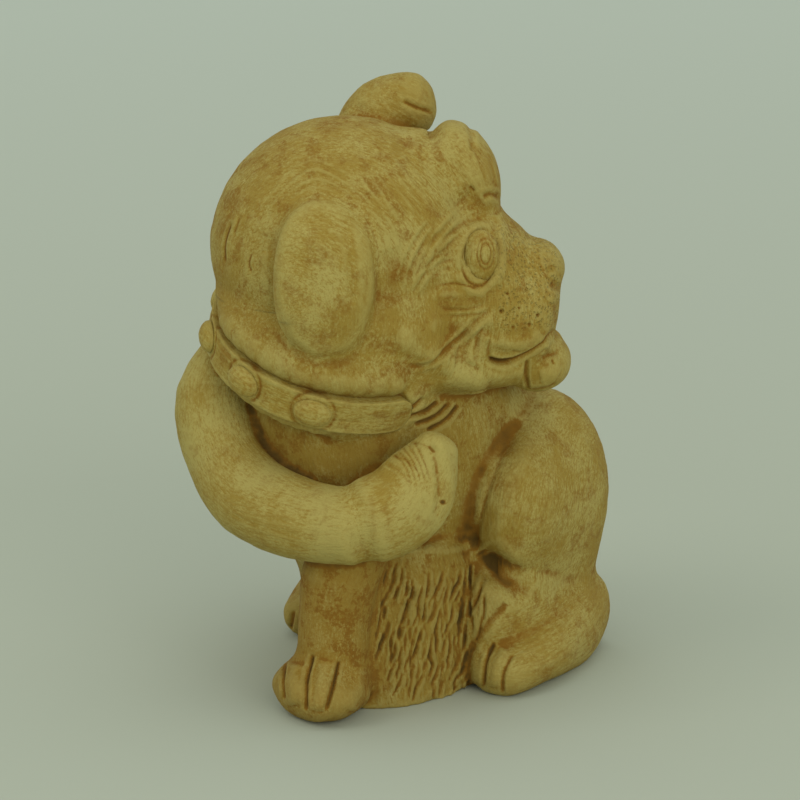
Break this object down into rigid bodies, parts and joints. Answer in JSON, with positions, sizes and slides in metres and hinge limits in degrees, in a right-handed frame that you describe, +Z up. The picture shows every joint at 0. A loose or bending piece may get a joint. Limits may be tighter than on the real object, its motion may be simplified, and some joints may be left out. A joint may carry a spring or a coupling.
{
  "type": "seated clay dog figure",
  "caption": "Hollow hand-built clay figure of a seated dog in a studded collar, one forepaw across its chest, looking back over its left shoulder.",
  "frame": {"origin": "on the ground at the middle of the footprint, under the middle of the bounding box", "axes": "+Z up; the dog's chest faces -Y and its left side is +X; the head is turned back to look between +X and +Y"},
  "size_m": [0.1213, 0.158, 0.2052],
  "materials": {
    "body_clay": "unglazed fired clay with a rubbed iron-oxide wash",
    "head_clay": "unglazed fired clay with a rubbed iron-oxide wash",
    "collar_clay": "unglazed fired clay, studs rubbed pale",
    "fur_clay": "deeply combed unglazed clay, stain left in the grooves",
    "base_clay": "bare fired clay, scraped flat"
  },
  "bodies": {
    "root": {"trunk": "body_clay", "neck": "body_clay", "left_foreleg": "body_clay", "left_forepaw": "body_clay", "right_foreleg": "body_clay", "right_forepaw": "body_clay", "left_haunch": "body_clay", "right_haunch": "body_clay", "left_hind_foot": "body_clay", "right_hind_foot": "body_clay", "tail": "body_clay", "head": "head_clay", "lower_jaw": "head_clay", "chin": "head_clay", "nose": "head_clay", "right_eye": "head_clay", "left_eye": "head_clay", "right_ear": "head_clay", "left_ear": "head_clay", "brow_tuft": "head_clay", "neck_folds": "head_clay", "collar": "collar_clay", "collar_stud_1": "collar_clay", "collar_stud_2": "collar_clay", "collar_stud_3": "collar_clay", "collar_stud_4": "collar_clay", "collar_stud_5": "collar_clay", "collar_stud_6": "collar_clay", "collar_stud_7": "collar_clay", "belly_fur": "fur_clay", "base_slab": "base_clay"}
  },
  "joints": []
}
